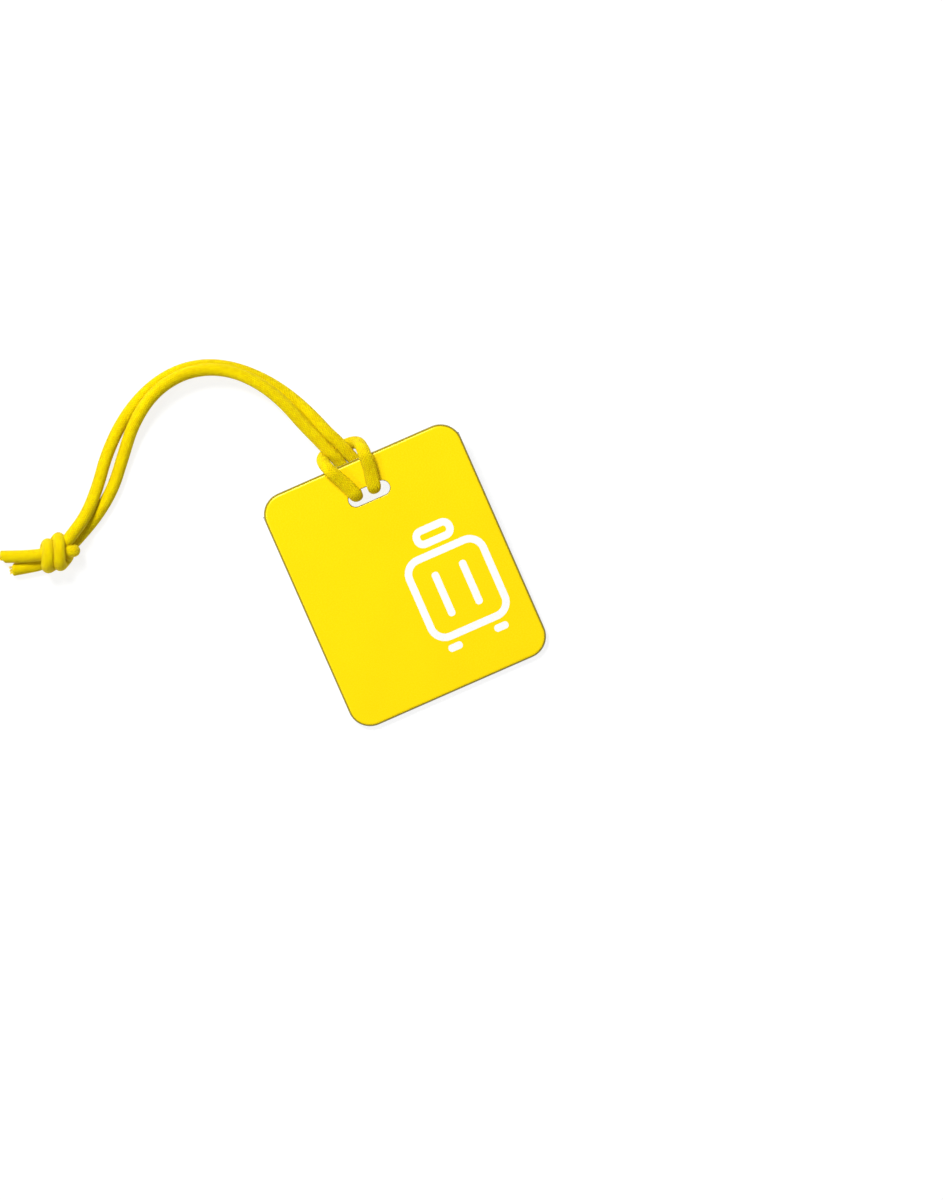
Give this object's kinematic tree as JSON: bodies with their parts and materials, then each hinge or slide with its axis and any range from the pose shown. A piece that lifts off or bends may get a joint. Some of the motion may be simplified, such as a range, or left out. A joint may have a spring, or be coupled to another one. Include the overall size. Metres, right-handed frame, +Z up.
{
  "type": "luggage tag",
  "caption": "Rectangular soft plastic luggage tag with a clear card pocket on its back and a knotted braided cord hitched through its slot.",
  "frame": {"origin": "on the surface the tag lies on, below the middle of the tag", "axes": "+X to the tag's right seen from its face, +Y up the tag towards the cord slot, +Z up, out of its face. The slot end is propped up 5.4 degrees by the cord under it."},
  "size_m": [0.1773, 0.1543, 0.0176],
  "materials": {
    "yellow_plastic": "satin moulded soft plastic",
    "white_print": "satin white fill",
    "white_plastic": "fine matt",
    "frosted_plastic": "frosted",
    "clear_plastic": "clear, milky at the edges",
    "clear_film": "clear film",
    "card": "smooth uncoated card",
    "cord": "fine round braid"
  },
  "bodies": {
    "tag": {"front_plate": "yellow_plastic", "front_motif": "white_print", "backing_sheet": "white_plastic", "header_strip": "frosted_plastic", "pocket_rim": "clear_plastic", "window_film": "clear_film"},
    "card": {"name_card": "card"},
    "hitch": {"hitch_right": "cord", "hitch_left": "cord"},
    "loop": {"strand_outer": "cord", "strand_inner": "cord", "end_knot": "cord", "tail_long": "cord", "tail_short": "cord"}
  },
  "joints": [
    {"name": "card_slide", "type": "slide", "parent": "tag", "child": "card", "axis": [0, 0.9956, 0.0941], "range_m": [0, 0.0012]},
    {"name": "hitch_slide", "type": "slide", "parent": "tag", "child": "hitch", "axis": [1, 0, 0], "range_m": [-0.0008, 0.0023]},
    {"name": "loop_lift", "type": "hinge", "parent": "hitch", "child": "loop", "pos_m": [0, 0.0587, 0.01], "axis": [1, 0, 0], "range_deg": [0, 90]}
  ]
}
